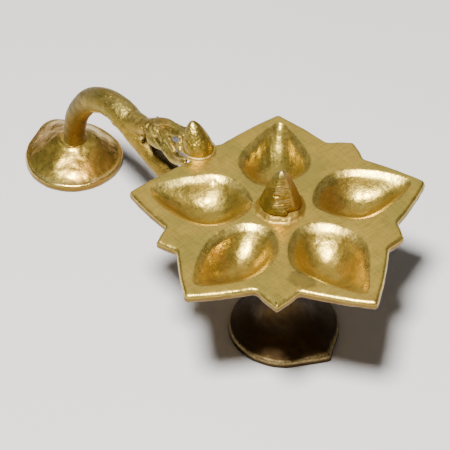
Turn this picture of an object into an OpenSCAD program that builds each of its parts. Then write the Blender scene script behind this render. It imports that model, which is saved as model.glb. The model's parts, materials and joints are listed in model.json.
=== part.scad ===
// Five-wick brass hand lamp. A star-shaped plate with five oil wells stands on a bell foot,
// and an arched handle runs from under the plate to a second, smaller-necked bell foot.
// Millimetres. +Z is up, and the origin is on the floor under the plate's centre.
// The handle points along -X.

/* [Star plate] */
// Height of the plate's top above the floor
plate_top = 69.5; // [67:0.5:72]
// Thickness of the plate at its edge
plate_t = 4; // [3.5:0.5:4.5]
// Radius to the five large tips
tip_r = 65; // [63:0.5:67]
// Radius to the five small points between the tips
point_r = 56; // [54:0.5:58]
// Radius to the notches on both sides of each small point
notch_r = 49; // [47:0.5:51]

/* [Oil wells] */
// Distance from the plate's centre to the round inner end of a well
well_start = 15; // [14.5:0.5:15.5]
// Distance from the plate's centre to the pointed outer end of a well
well_end = 57; // [56:0.5:58]
// Width of a well
well_w = 28.5; // [27.5:0.5:29.5]
// Height of the well's long axis above the plate's top, which sets how deep it is
well_rise = 3; // [1.5:0.25:3.5]
// Wall thickness of a well
well_wall = 3; // [2:0.5:3]

/* [Centre finial] */
// Radius of the ring around the finial's base
collar_r = 10.4; // [9.5:0.1:11]
// Height of that ring
collar_h = 3.6; // [3:0.1:4.5]
// Radius of the finial's base
finial_r = 8.5; // [7.5:0.1:9]
// Height of the finial above its ring
finial_h = 16.4; // [14:0.2:20]

/* [Rear finial] */
// Radius of the small ring
rear_collar_r = 7.2; // [6.8:0.1:7.3]
// Height of the small ring
rear_collar_h = 1.8; // [1.4:0.1:2.2]
// Radius of the rear finial
rear_finial_r = 6.3; // [5.5:0.1:6.4]
// Height of the rear finial above its ring
rear_finial_h = 12.4; // [11:0.2:14]
// Lean of the rear finial towards the handle, in degrees
rear_lean = 14; // [0:1:15]

/* [Feet] */
// Radius of the main foot's rim
foot_r = 24.5; // [23:0.5:26]
// Height of the main foot's vertical rim
foot_rim = 3.8; // [3:0.2:4.5]
// Radius of the pedestal's stem
stem_r = 7; // [6.5:0.5:8]
// Radius of the rear foot's rim
rear_foot_r = 24.1; // [22:0.5:25]
// Height of the rear foot's vertical rim
rear_foot_rim = 3.2; // [2.8:0.2:4]
// Height of the rear foot's neck, where the handle stands on it
neck_z = 13; // [13:0.5:14]

/* [Handle] */
// Distance from the plate's centre back to the rear foot
handle_x = 149.4; // [148.5:0.1:150]
// Height of the handle's tenon in the pedestal's stem
tenon_z = 29; // [28:0.5:30]
// Radius of the tenon in the stem
tenon_r = 2.8; // [2.4:0.1:3]

/* [Hidden] */
$fn = 64;

brass = [0.72, 0.58, 0.32];
bright_brass = [0.84, 0.71, 0.43];
olive_brass = [0.56, 0.46, 0.22];
dark_brass = [0.3, 0.22, 0.12];
solder_gray = [0.48, 0.47, 0.48];

fit_gap = 0.05;   // clearance round each tang and tenon
over = 1;         // how far a cutter runs past what it cuts
big = 200;        // longer than anything that is cut

// The star is hand cut, so each direction has its own small error in angle and in radius.
tip_angle = [-6, 67.5, 140, 218.5, 281.5];
tip_error = [0.5, 0.4, -0.3, 1, -1];
point_angle = [33, 104.5, 180, 249, 316.5];
point_error = [-3.5, 0, 1, -0.8, 0];
notch_error = [-0.5, 1, 2.2, 0.2, -1.8];
notch_spread = [9.5, 11, 9.5, 9, 11];

function polar(r, a) = [r * cos(a), r * sin(a)];

star = [for (i = [0:4]) each [
    polar(tip_r + tip_error[i], tip_angle[i]),
    polar(notch_r + notch_error[i], point_angle[i] - notch_spread[i]),
    polar(point_r + point_error[i], point_angle[i]),
    polar(notch_r + notch_error[i], point_angle[i] + notch_spread[i])]];

plate_base = plate_top - plate_t;

// A well is a drop shape turned about its long axis: a round inner end, and two arcs that
// meet in a point at its outer end.
well_r = well_w / 2;
well_mid = well_start + well_r;
well_nose = well_end - well_mid;
nose_back = (well_nose * well_nose - well_r * well_r) / (2 * well_r);
nose_r = well_r + nose_back;

// The centre finial stands a little off the plate's centre.
finial_at = [-2.7, 1.6];
finial_tang_r = 3.2;
socket_z = 55;

// The rear finial stands on the small point that faces the handle.
rear_at = [-52.6, -1.4];
rear_tang_r = 2;
rear_burr_r = 3.2;
burr_t = 1.2;
peen_t = 0.9;
rear_top = plate_top + rear_collar_h;

// The main foot's bell sits a little to one side of the stem. Each foot's rim runs out to one
// corner, at the lamp's front and at its back.
foot_at = [1.6, 1.6];
foot_corner_r = 28.5;
foot_corner_angle = 4;
rear_corner_r = 27.5;
rear_corner_angle = 180;
foot_wall = 4;
bell_top_z = 18;
bell_top_r = 9;
head_r = 10;

// Seats filed flat on the stem, where the handle and its burr bear on it
seat_x = 6.2;
seat_r = 4.7;
arm_r = 3.9;
arm_burr_r = 4.2;

rear_crown_z = 8.5;
rear_tenon_r = 3;
rear_neck_r = 6.4;
rear_burr_washer_r = 4.6;

// Half-width of a pointed body at the fraction t of its height
function ogive(r, t, blunt) = r * pow(1 - pow(t, blunt), 0.62);

// Smooth curve through a list of points: the position at u between points b and c
function spline(a, b, c, d, u) = 0.5 * (2 * b + (c - a) * u
    + (2 * a - 5 * b + 4 * c - d) * u * u + (3 * b - a - 3 * c + d) * u * u * u);

function pick(list, i) = list[max(0, min(len(list) - 1, i))];

function smooth(list, steps) = [for (i = [0:len(list) - 2], k = [0:steps - 1])
    spline(pick(list, i - 1), list[i], list[i + 1], pick(list, i + 2), k / steps),
    each [list[len(list) - 1]]];

// The handle's centre line in the XZ plane, from the rear foot to the stem: x, z and radius
arm_route = [[-handle_x, neck_z, 5.3], [-149, 20, 5.4], [-146.5, 29, 5.6], [-142, 37, 5.8],
    [-135.5, 45, 6], [-128.5, 50, 6.1], [-120.5, 53.5, 6.2], [-111.5, 54.5, 6.4],
    [-104, 52.5, 6.4], [-98, 48, 5.8], [-92, 43.5, 4.9], [-86, 40.5, 4.3], [-78, 38, 4],
    [-60, 34.5, arm_r], [-35, 31, arm_r], [-20, tenon_z + 0.4, arm_r],
    [-seat_x, tenon_z, arm_r]];
arm_steps = 3;
arm_sides = 16;

// The fork: the handle's upper branch ends in a round face that the hood is pinned to.
fork_from = [-106, 0, 52.5];
fork_tilt = 66;      // the branch's angle from vertical
fork_len = 15;
fork_r = 5.6;
fork_to = fork_from + fork_len * [sin(fork_tilt), 0, cos(fork_tilt)];
hood_tenon_r = 2.4;
hood_tenon_len = 7;
pin_r = 1.1;
pin_head_r = 1.9;
pin_seat_y = 4.6;
pin_at = fork_to + 3.6 * [sin(fork_tilt), 0, cos(fork_tilt)];

// The hood's leaf: flank, crown, front and tip, each a centre and a radius
hood_flank = [[-82, -5, 60.5], 3.4];
hood_crown = [[-79.5, 1.5, 67], 4];
hood_front = [[-64.4, 1, 69.4], 3.8];
hood_tip = [[-55.4, -10, 66.5], 2.2];

// A closed tube of changing radius along a route that lies in the XZ plane
module swept_rod(route, sides) {
    n = len(route);
    function heading(i) = i == 0 ? [0, 1] : i == n - 1 ? [1, 0] : let (
        d = [route[i + 1][0] - route[i - 1][0], route[i + 1][1] - route[i - 1][1]]) d / norm(d);
    rings = [for (i = [0:n - 1], k = [0:sides - 1]) let (
        h = heading(i), a = 360 * k / sides, r = route[i][2])
        [route[i][0] - r * sin(a) * h[1], r * cos(a), route[i][1] + r * sin(a) * h[0]]];
    walls = [for (i = [0:n - 2], k = [0:sides - 1]) let (m = (k + 1) % sides)
        [i * sides + k, (i + 1) * sides + k, (i + 1) * sides + m, i * sides + m]];
    ends = [[for (k = [0:sides - 1]) k], [for (k = [sides - 1:-1:0]) (n - 1) * sides + k]];
    polyhedron(points = rings, faces = concat(walls, ends), convexity = 6);
}

module well_profile(grow) {
    intersection() {
        square([big, big]);
        union() {
            intersection() {
                translate([0, well_mid]) circle(r = well_r + grow);
                square([big, well_mid]);
            }
            intersection() {
                translate([-nose_back, well_mid]) circle(r = nose_r + grow);
                translate([0, well_mid]) square([big, big]);
            }
        }
    }
}

module well_form(grow) {
    translate([0, 0, plate_top + well_rise]) rotate([0, 90, 0])
        rotate_extrude() well_profile(grow);
}

module wells(grow) {
    for (a = tip_angle) rotate([0, 0, a]) well_form(grow);
}

module star_plate() {
    color(brass) difference() {
        union() {
            translate([0, 0, plate_base]) linear_extrude(plate_t) polygon(star);
            intersection() {
                wells(well_wall);
                translate([-big / 2, -big / 2, 0]) cube([big, big, plate_top - plate_t / 2]);
            }
        }
        wells(0);
        translate([finial_at[0], finial_at[1], 0])
            cylinder(r = finial_tang_r + fit_gap, h = big);
        translate([rear_at[0], rear_at[1], 0]) cylinder(r = rear_tang_r + fit_gap, h = big);
    }
}

module center_collar() {
    lip = 1.2;
    color(bright_brass) translate([finial_at[0], finial_at[1], plate_top]) difference() {
        union() {
            cylinder(r = collar_r, h = collar_h - lip);
            translate([0, 0, collar_h - lip]) cylinder(r1 = collar_r, r2 = collar_r - lip, h = lip);
        }
        translate([0, 0, -over]) cylinder(r = finial_tang_r + fit_gap, h = collar_h + 2 * over);
    }
}

module center_finial() {
    steps = 12;
    profile = [for (i = [0:steps]) let (t = i / steps) [ogive(finial_r, t, 1), t * finial_h]];
    file_cut = 1.1;
    facet_tilt = 18;
    color(olive_brass) translate([finial_at[0], finial_at[1], plate_top + collar_h]) {
        difference() {
            rotate_extrude() polygon(concat([[0, 0]], profile));
            // Two facets filed on the finial, in front and to its right
            for (a = [-62, 12]) rotate([0, 0, a]) translate([finial_r - file_cut, 0, 0])
                rotate([0, -facet_tilt, 0]) translate([0, -big / 2, -big / 2])
                    cube([big, big, big]);
        }
        translate([0, 0, socket_z - plate_top - collar_h])
            cylinder(r = finial_tang_r, h = plate_top + collar_h - socket_z);
    }
}

module rear_collar() {
    color(bright_brass) translate([rear_at[0], rear_at[1], plate_top]) difference() {
        cylinder(r = rear_collar_r, h = rear_collar_h);
        translate([0, 0, -over]) cylinder(r = rear_tang_r + fit_gap, h = rear_collar_h + 2 * over);
    }
}

module rear_finial() {
    steps = 10;
    sunk = 2;
    full_h = rear_finial_h + sunk;
    profile = [for (i = [0:steps]) let (t = i / steps) [ogive(rear_finial_r, t, 1.6), t * full_h]];
    color(brass) {
        difference() {
            translate([rear_at[0], rear_at[1], rear_top]) rotate([0, -rear_lean, 0])
                translate([0, 0, -sunk]) rotate_extrude() polygon(concat([[0, 0]], profile));
            translate([-big / 2, -big / 2, rear_top - big]) cube([big, big, big]);
        }
        translate([rear_at[0], rear_at[1], plate_base - burr_t])
            cylinder(r = rear_tang_r, h = rear_top - plate_base + burr_t);
        translate([rear_at[0], rear_at[1], plate_base - burr_t - peen_t])
            cylinder(r1 = rear_tang_r, r2 = rear_tang_r + 0.6, h = peen_t);
    }
}

module washer(outer, inner) {
    difference() {
        cylinder(r = outer, h = burr_t);
        translate([0, 0, -over]) cylinder(r = inner + fit_gap, h = burr_t + 2 * over);
    }
}

module rear_finial_burr() {
    color(olive_brass) translate([rear_at[0], rear_at[1], plate_base - burr_t])
        washer(rear_burr_r, rear_tang_r);
}

// Profile of a bell's slope, from its rim to its neck. The larger the flare, the more the
// slope flattens in the middle and steepens at the neck.
function bell(rim_r, rim_h, neck_r, neck_h, flare) = [for (i = [0:8]) let (t = i / 8)
    [rim_r + (neck_r - rim_r) * t,
    rim_h + (neck_h - rim_h) * ((1 - flare) * t + flare * pow(t, 3))]];

module bell_foot(rim_r, rim_h, neck_r, neck_h, crown_h, flare) {
    inset = 1.2;
    rotate_extrude() polygon(concat([[rim_r - foot_wall, 0], [rim_r, 0],
        [rim_r, rim_h - inset / 2]],
        bell(rim_r - inset, rim_h + inset / 2, neck_r, neck_h, flare),
        [[0, neck_h], [0, crown_h], [neck_r - 1, crown_h]]));
}

module foot_corner(rim_r, corner_r, angle, corner_h) {
    inner = rim_r - foot_wall / 2;
    tangent = acos(rim_r / corner_r);
    difference() {
        linear_extrude(corner_h) polygon([polar(inner, angle - tangent),
            polar(rim_r, angle - tangent), polar(corner_r, angle), polar(rim_r, angle + tangent),
            polar(inner, angle + tangent)]);
        translate([0, 0, -over]) cylinder(r = inner, h = big);
    }
}

module pedestal() {
    crown_t = 6;
    color(dark_brass) difference() {
        union() {
            translate([foot_at[0], foot_at[1], 0]) {
                bell_foot(foot_r, foot_rim, bell_top_r, bell_top_z, bell_top_z - crown_t, 0.45);
                foot_corner(foot_r, foot_corner_r, foot_corner_angle, foot_rim - 0.4);
            }
            rotate_extrude() polygon([[0, bell_top_z - 3], [bell_top_r - 2.2, bell_top_z - 3],
                [stem_r, bell_top_z + 5], [stem_r, 44], [stem_r + 0.4, 52], [head_r, 63],
                [head_r, plate_base], [0, plate_base]]);
        }
        // Bore for the handle's tenon, and a flat seat at each end of it
        translate([-big / 2, 0, tenon_z]) rotate([0, 90, 0])
            cylinder(r = tenon_r + fit_gap, h = big);
        for (side = [-1, 1]) translate([side * seat_x, 0, tenon_z]) rotate([0, side * 90, 0])
            cylinder(r = seat_r, h = seat_r * 2);
        // Blind socket for the centre finial's tang
        translate([finial_at[0], finial_at[1], socket_z - 0.5])
            cylinder(r = finial_tang_r + fit_gap, h = big);
    }
}

module handle_arm() {
    color(olive_brass) difference() {
        union() {
            swept_rod(smooth(arm_route, arm_steps), arm_sides);
            // Upper branch of the fork, with the tenon that enters the hood
            translate(fork_from) rotate([0, fork_tilt, 0]) {
                cylinder(r = fork_r, h = fork_len);
                cylinder(r = hood_tenon_r, h = fork_len + hood_tenon_len);
            }
            // Tenon through the pedestal's stem, peened over its burr
            translate([-seat_x - over, 0, tenon_z]) rotate([0, 90, 0])
                cylinder(r = tenon_r, h = 2 * seat_x + over + burr_t);
            translate([seat_x + burr_t, 0, tenon_z]) rotate([0, 90, 0])
                cylinder(r1 = tenon_r + 0.7, r2 = tenon_r, h = peen_t);
            // Tenon down through the rear foot's crown, peened over its burr
            translate([-handle_x, 0, rear_crown_z - burr_t])
                cylinder(r = rear_tenon_r, h = neck_z - rear_crown_z + burr_t + over);
            translate([-handle_x, 0, rear_crown_z - burr_t - peen_t])
                cylinder(r1 = rear_tenon_r, r2 = rear_tenon_r + 0.7, h = peen_t);
        }
        translate([pin_at[0], -big / 2, pin_at[2]]) rotate([-90, 0, 0])
            cylinder(r = pin_r + fit_gap, h = big);
    }
}

module arm_burr() {
    color(brass) translate([seat_x, 0, tenon_z]) rotate([0, 90, 0])
        washer(arm_burr_r, tenon_r);
}

module ball(spot) {
    translate(spot[0]) sphere(r = spot[1], $fn = 28);
}

module hood_leaf() {
    hull() {
        translate(fork_to) rotate([0, fork_tilt, 0]) cylinder(r = fork_r - 0.3, h = 2, $fn = 28);
        ball(hood_crown);
        ball(hood_flank);
    }
    hull() {
        ball(hood_crown);
        ball(hood_flank);
        ball(hood_front);
    }
    hull() {
        ball(hood_flank);
        ball(hood_front);
        ball(hood_tip);
    }
}

module serpent_hood() {
    color(brass) difference() {
        hood_leaf();
        translate(fork_to) rotate([0, fork_tilt, 0]) translate([0, 0, -over])
            cylinder(r = hood_tenon_r + fit_gap, h = hood_tenon_len + 0.3 + over);
        translate([pin_at[0], -big / 2, pin_at[2]]) rotate([-90, 0, 0])
            cylinder(r = pin_r + fit_gap, h = big);
        // Flat seats under the pin's two heads
        for (side = [-1, 1]) translate([pin_at[0], side * pin_seat_y, pin_at[2]])
            rotate([-side * 90, 0, 0]) cylinder(r = pin_head_r + 0.3, h = 10);
    }
}

module hood_rivet() {
    head_t = 1.3;
    color(bright_brass) translate([pin_at[0], 0, pin_at[2]]) rotate([-90, 0, 0]) {
        translate([0, 0, -pin_seat_y]) cylinder(r = pin_r, h = 2 * pin_seat_y);
        for (side = [0, 180]) rotate([side, 0, 0]) translate([0, 0, pin_seat_y])
            cylinder(r1 = pin_head_r, r2 = pin_r, h = head_t);
    }
}

module hood_solder() {
    color(solder_gray) difference() {
        union() {
            // Bead between the hood's front and the small ring
            translate([-60, -2.6, plate_top + 0.6]) sphere(r = 2.2);
            // Bead between the hood's tip and the plate's edge
            translate([-53.6, -8.3, plate_top - 1.6]) sphere(r = 2);
        }
        hood_leaf();
        translate([rear_at[0], rear_at[1], 0]) cylinder(r = rear_collar_r, h = rear_top);
        linear_extrude(plate_top) polygon(star);
        translate([rear_at[0], rear_at[1], rear_top]) rotate([0, -rear_lean, 0])
            translate([0, 0, -2]) cylinder(r = rear_finial_r, h = 6);
    }
}

module rear_foot() {
    color(brass) translate([-handle_x, 0, 0]) difference() {
        union() {
            bell_foot(rear_foot_r, rear_foot_rim, rear_neck_r, neck_z, rear_crown_z, 0.15);
            foot_corner(rear_foot_r, rear_corner_r, rear_corner_angle, rear_foot_rim - 0.4);
        }
        cylinder(r = rear_tenon_r + fit_gap, h = neck_z + over);
    }
}

module rear_foot_burr() {
    color(olive_brass) translate([-handle_x, 0, rear_crown_z - burr_t])
        washer(rear_burr_washer_r, rear_tenon_r);
}

star_plate();
center_collar();
center_finial();
rear_collar();
rear_finial();
rear_finial_burr();
pedestal();
handle_arm();
arm_burr();
serpent_hood();
hood_rivet();
hood_solder();
rear_foot();
rear_foot_burr();
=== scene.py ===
import json
from math import acos, atan2, cos, degrees, exp, hypot, pi, radians, sin, sqrt

import bmesh
import bpy
import numpy as np
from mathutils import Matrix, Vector, geometry, noise


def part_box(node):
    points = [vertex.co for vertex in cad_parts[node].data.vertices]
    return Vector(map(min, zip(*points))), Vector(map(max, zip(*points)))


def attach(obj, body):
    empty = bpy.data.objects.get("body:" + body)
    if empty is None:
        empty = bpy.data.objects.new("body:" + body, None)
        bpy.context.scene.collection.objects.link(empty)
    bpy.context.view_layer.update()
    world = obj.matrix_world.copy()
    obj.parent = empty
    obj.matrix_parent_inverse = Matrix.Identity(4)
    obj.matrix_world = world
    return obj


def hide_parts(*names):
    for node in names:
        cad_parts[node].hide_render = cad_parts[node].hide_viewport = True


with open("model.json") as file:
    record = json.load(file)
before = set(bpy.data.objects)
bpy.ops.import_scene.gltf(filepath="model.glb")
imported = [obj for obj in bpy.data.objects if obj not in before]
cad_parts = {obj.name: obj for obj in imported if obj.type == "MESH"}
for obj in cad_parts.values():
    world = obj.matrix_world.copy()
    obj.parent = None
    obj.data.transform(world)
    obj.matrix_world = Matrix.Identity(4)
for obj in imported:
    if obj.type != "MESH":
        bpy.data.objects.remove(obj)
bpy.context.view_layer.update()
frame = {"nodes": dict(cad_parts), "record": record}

# Lengths in this script are millimetres in the frame of the CAD model, unless a name says metres.
MM = 0.001
BODY = "root"
UP = Vector((0, 0, 1))
SAME_PLACE = 0.004    # points closer than this are one

# ---- Places, taken from the CAD model ----


def low(node):
    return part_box(node)[0] / MM


def high(node):
    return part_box(node)[1] / MM


def middle(node):
    return (low(node) + high(node)) / 2


FLOOR_Z = low("pedestal").z
PLATE_TOP = high("star_plate").z
FINIAL_AT = middle("center_collar").xy
COLLAR_TOP = high("center_collar").z
FINIAL_TOP = high("center_finial").z
REAR_AT = middle("rear_collar").xy
REAR_RING_TOP = high("rear_collar").z
REAR_FINIAL_TOP = high("rear_finial").z
REAR_FOOT_AT = middle("rear_foot").xy
NECK_Z = high("rear_foot").z

# ---- Small helpers ----


def grain(point, size, seed=0.0):
    """Smooth noise from -1 to 1 with lumps of about the given size."""
    return noise.noise(Vector(point) / size + Vector((seed, 1.7 * seed, -seed)))


def blend(a, b, t):
    return a + (b - a) * t


def ramp(value, start, end):
    """0 before start, 1 after end, smooth between."""
    t = max(0.0, min(1.0, (value - start) / (end - start)))
    return t * t * (3 - 2 * t)


def fade(value, start, end):
    """1 before start, 0 after end, smooth between."""
    return 1 - ramp(value, start, end)


def bell(value, width):
    """1 at 0, falling away on both sides over about this width."""
    return exp(-(value / width) ** 2)


def turn(angle):
    """Unit direction in the XY plane, from degrees."""
    return Vector((cos(radians(angle)), sin(radians(angle))))


def facing(n, angle, start, end):
    """A ramp over how far a normal points in a direction, given in degrees."""
    return ramp(n.xy.dot(turn(angle)), start, end)


def bearing(v):
    """Direction of a vector in the XY plane, in degrees."""
    return degrees(atan2(v.y, v.x))


def lumps(point, *layers):
    """Several grains added up. Each layer is its height, its size and its seed."""
    return sum(height * grain(point, size, seed) for height, size, seed in layers)


def near(p, spot, size):
    """1 at a spot in the XY plane, falling to 0 over about this size."""
    return bell((p.xy - Vector(spot)).length, size)


def catmull(points, steps):
    """A smooth curve through rows of numbers, with this many steps between rows."""
    rows = [np.array(p, float) for p in points]
    out = []
    for i in range(len(rows) - 1):
        a, b = rows[max(i - 1, 0)], rows[i]
        c, d = rows[i + 1], rows[min(i + 2, len(rows) - 1)]
        for k in range(steps):
            u = k / steps
            out.append(0.5 * (2 * b + (c - a) * u + (2 * a - 5 * b + 4 * c - d) * u * u
                              + (3 * b - a - 3 * c + d) * u ** 3))
    out.append(rows[-1])
    return out


def show(name, mesh):
    """A smooth-shaded object in the scene from a mesh."""
    mesh.polygons.foreach_set("use_smooth", [True] * len(mesh.polygons))
    obj = bpy.data.objects.new(name, mesh)
    bpy.context.scene.collection.objects.link(obj)
    return obj


def new_object(name, points, faces, clean=True):
    """An object from points in millimetres. Cleaning merges points that coincide."""
    mesh = bpy.data.meshes.new(name)
    mesh.from_pydata([tuple(c * MM for c in p) for p in points], [], faces)
    if clean:
        bm = bmesh.new()
        bm.from_mesh(mesh)
        bmesh.ops.remove_doubles(bm, verts=bm.verts, dist=SAME_PLACE * MM)
        bmesh.ops.recalc_face_normals(bm, faces=bm.faces)
        bm.to_mesh(mesh)
        bm.free()
    return show(name, mesh)


def shape(obj, move):
    """Moves each vertex: move(place, normal) gives its new place, all in millimetres."""
    mesh = obj.data
    normals = [v.normal.copy() for v in mesh.vertices]
    for v, n in zip(mesh.vertices, normals):
        v.co = Vector(move(v.co / MM, n)) * MM
    mesh.update()


def paint(obj, layer, value):
    """Stores value(place, normal), from 0 to 1, on each vertex for the materials to read."""
    mesh = obj.data
    data = mesh.attributes.new(layer, "FLOAT", "POINT").data
    for i, v in enumerate(mesh.vertices):
        data[i].value = max(0.0, min(1.0, value(v.co / MM, v.normal)))


def coat(obj, wear_and_sheen=0.0, patina_and_shade=0.0, copper=0.0, stain_and_shade=0.0):
    """Paints the four layers that the brass reads: wear with painted highlights, patina with painted shade,
    copper, and stains with painted shade. Each is a number, or a function of place and normal."""
    for layer, value in (("wear_and_sheen", wear_and_sheen), ("patina_and_shade", patina_and_shade), ("copper", copper), ("stain_and_shade", stain_and_shade)):
        paint(obj, layer, value if callable(value) else lambda p, n, flat=value: flat)


def strips(rings, sides):
    """Quads between neighbouring closed rings of points, with this many points in each."""
    faces = []
    for i in range(rings - 1):
        for k in range(sides):
            m = (k + 1) % sides
            faces.append([i * sides + k, i * sides + m, (i + 1) * sides + m, (i + 1) * sides + k])
    return faces


def join(parts):
    """Points and faces of several parts as one."""
    points, faces = [], []
    for part_points, part_faces in parts:
        base = len(points)
        points += list(part_points)
        faces += [[i + base for i in face] for face in part_faces]
    return points, faces


def lathe(profile, sides, at=(0.0, 0.0)):
    """Points and faces of a turned body. The profile is (radius, height) and starts and
    ends on the axis or is closed on itself."""
    points, rings = [], []
    for r, z in profile:
        if r < 1e-6:
            rings.append([len(points)] * sides)
            points.append((at[0], at[1], z))
            continue
        rings.append(list(range(len(points), len(points) + sides)))
        for k in range(sides):
            a = 2 * pi * k / sides
            points.append((at[0] + r * cos(a), at[1] + r * sin(a), z))
    faces = []
    for lower, upper in zip(rings, rings[1:]):
        for k in range(sides):
            m = (k + 1) % sides
            face = [lower[k], lower[m], upper[m], upper[k]]
            faces.append(list(dict.fromkeys(face)))
    return points, faces


def tube(rows, sides, steps):
    """A swept rod. Each row is x, y, z, half-width, half-height."""
    line = catmull(rows, steps)
    points = []
    count = len(line)
    for i, row in enumerate(line):
        ahead = Vector(line[min(i + 1, count - 1)][:3]) - Vector(line[max(i - 1, 0)][:3])
        ahead.normalize()
        side = ahead.cross(UP).normalized()
        up = side.cross(ahead)
        for k in range(sides):
            a = 2 * pi * k / sides
            points.append(Vector(row[:3]) + side * row[3] * cos(a) + up * row[4] * sin(a))
    faces = strips(count, sides)
    faces.append(list(range(sides))[::-1])
    faces.append([(count - 1) * sides + k for k in range(sides)])
    return points, faces


def relax(obj, rounds, pull=0.5):
    """Evens out a mesh by moving each vertex towards the mean of its neighbours."""
    mesh = obj.data
    count = len(mesh.vertices)
    place = np.empty(count * 3)
    mesh.vertices.foreach_get("co", place)
    place = place.reshape(-1, 3)
    edges = np.empty(len(mesh.edges) * 2, int)
    mesh.edges.foreach_get("vertices", edges)
    edges = edges.reshape(-1, 2)
    degree = np.bincount(edges.ravel(), minlength=count)[:, None]
    for _ in range(rounds):
        total = np.zeros_like(place)
        np.add.at(total, edges[:, 0], place[edges[:, 1]])
        np.add.at(total, edges[:, 1], place[edges[:, 0]])
        place += pull * (total / np.maximum(degree, 1) - place)
    mesh.vertices.foreach_set("co", place.ravel())
    mesh.update()


def fuse(name, parts, voxel, rounds):
    """One skin round several overlapping closed parts. The rounds of relaxing soften its joints."""
    rough = new_object(name + "_parts", *join(parts))
    remesh = rough.modifiers.new("skin", "REMESH")
    remesh.mode = "VOXEL"
    remesh.voxel_size = voxel * MM
    depsgraph = bpy.context.evaluated_depsgraph_get()
    mesh = bpy.data.meshes.new_from_object(rough.evaluated_get(depsgraph))
    bpy.data.objects.remove(rough)
    mesh.name = name
    obj = show(name, mesh)
    relax(obj, rounds)
    return obj


def ball(centre, radius, sides=20):
    """A closed ball as points and faces."""
    rings = sides // 2
    turns = [pi * i / rings for i in range(rings + 1)]
    profile = [(radius * sin(a), centre[2] - radius * cos(a)) for a in turns]
    return lathe(profile, sides, centre[:2])


def uneven(at, broad, fine, rise):
    """A move that roughens a ring round a place. Each lump is its height, size and seed."""
    def move(p, n):
        rel = p.xy - at
        out = rel.normalized() if rel.length > 1 else Vector((0, 0))
        lump = lumps(p, broad, fine)
        return p + Vector((out.x * lump, out.y * lump, lumps(p, rise)))

    return move


installed = []


def install(obj, slot, *nodes):
    """Puts a finished piece on the lamp in place of CAD nodes."""
    installed.append((obj, slot))
    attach(obj, BODY)
    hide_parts(*nodes)


# ---- Star plate ----

PLATE_T = 4.0
WELL_WALL = 3.0
SHARPNESS = 2.2       # power of the wells' cross-section: 2 is a parabola
LIP_WIDTH = 3.2       # width of the sloping band outside a well's crease
LIP_DROP = 2.1        # fall of the plate over that band
SPOKES = 116          # points round each well
GRID_STEP = 0.5       # spacing of the grid that holds the wells' depths
GRID_REACH = 64.0     # half of that grid's side
WELL_BLUR = 0.42      # how far the wells' creases are softened
RIM_FROM = 44         # the star's edge is farther from its centre than this
POINTS_FROM = 60      # its five big points are farther than this
BOW = 0.02            # bow of the star's sides, as a share of their length


def smoothed(field, size, reach, step=1, axis=0):
    """The field averaged by a bell curve of this size over its neighbours, a step apart."""
    weights = {k: exp(-0.5 * (k * step / size) ** 2) for k in range(-reach, reach + 1)}
    return sum(np.roll(field, k, axis) * w for k, w in weights.items()) / sum(weights.values())


class Well:
    """A hand-beaten oil well: its lip's outline, its deepest place and its depth."""

    def __init__(self, lip, deepest, depth):
        closed = list(lip) + list(lip[:4])
        curve = catmull(closed, 12)[12:12 * (len(lip) + 1)]
        track = np.array(curve + curve[:1])
        length = np.concatenate([[0], np.cumsum(np.hypot(*np.diff(track, axis=0).T))])
        even = np.linspace(0, length[-1], SPOKES + 1)[:-1]
        self.lip = [Vector((np.interp(s, length, track[:, 0]), np.interp(s, length, track[:, 1])))
                    for s in even]
        self.middle = Vector(deepest)
        self.depth = depth
        rel = [p - self.middle for p in self.lip]
        table = sorted((atan2(r.y, r.x), r.length) for r in rel)
        self.angles = np.array([a for a, _ in table])
        self.radii = np.array([r for _, r in table])
        # The same outline with its corners smoothed away, for the inside of the bowl
        self.all_round = np.radians(np.arange(-180, 180))
        exact = np.interp(self.all_round, self.angles, self.radii, period=2 * pi)
        self.soft = smoothed(exact, 20, 60)

    def reach(self, p, grow=0.0):
        """Distance from the deepest place to the lip in the direction of a place."""
        rel = p - self.middle
        angle = atan2(rel.y, rel.x)
        return float(np.interp(angle, self.angles, self.radii, period=2 * pi)) + grow

    def level(self, p, grow=0.0):
        """0 at the deepest place, 1 on the lip."""
        return (p - self.middle).length / self.reach(p, grow)

    def drops(self, x, y):
        """Depth below the plate's top on a grid of places."""
        dx, dy = x - self.middle.x, y - self.middle.y
        angle, away = np.arctan2(dy, dx), np.hypot(dx, dy)
        reach = np.interp(angle, self.angles, self.radii, period=2 * pi)
        soft = np.interp(angle, self.all_round, self.soft, period=2 * pi)
        share = np.minimum(away / reach, 1) ** 3
        level = away / (soft + (reach - soft) * share)
        bowl = LIP_DROP + (self.depth - LIP_DROP) * (1 - np.minimum(level, 1) ** SHARPNESS)
        band = LIP_DROP * (1 - (away - reach) / LIP_WIDTH)
        return np.where(away < reach, bowl, np.maximum(band, 0))


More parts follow.
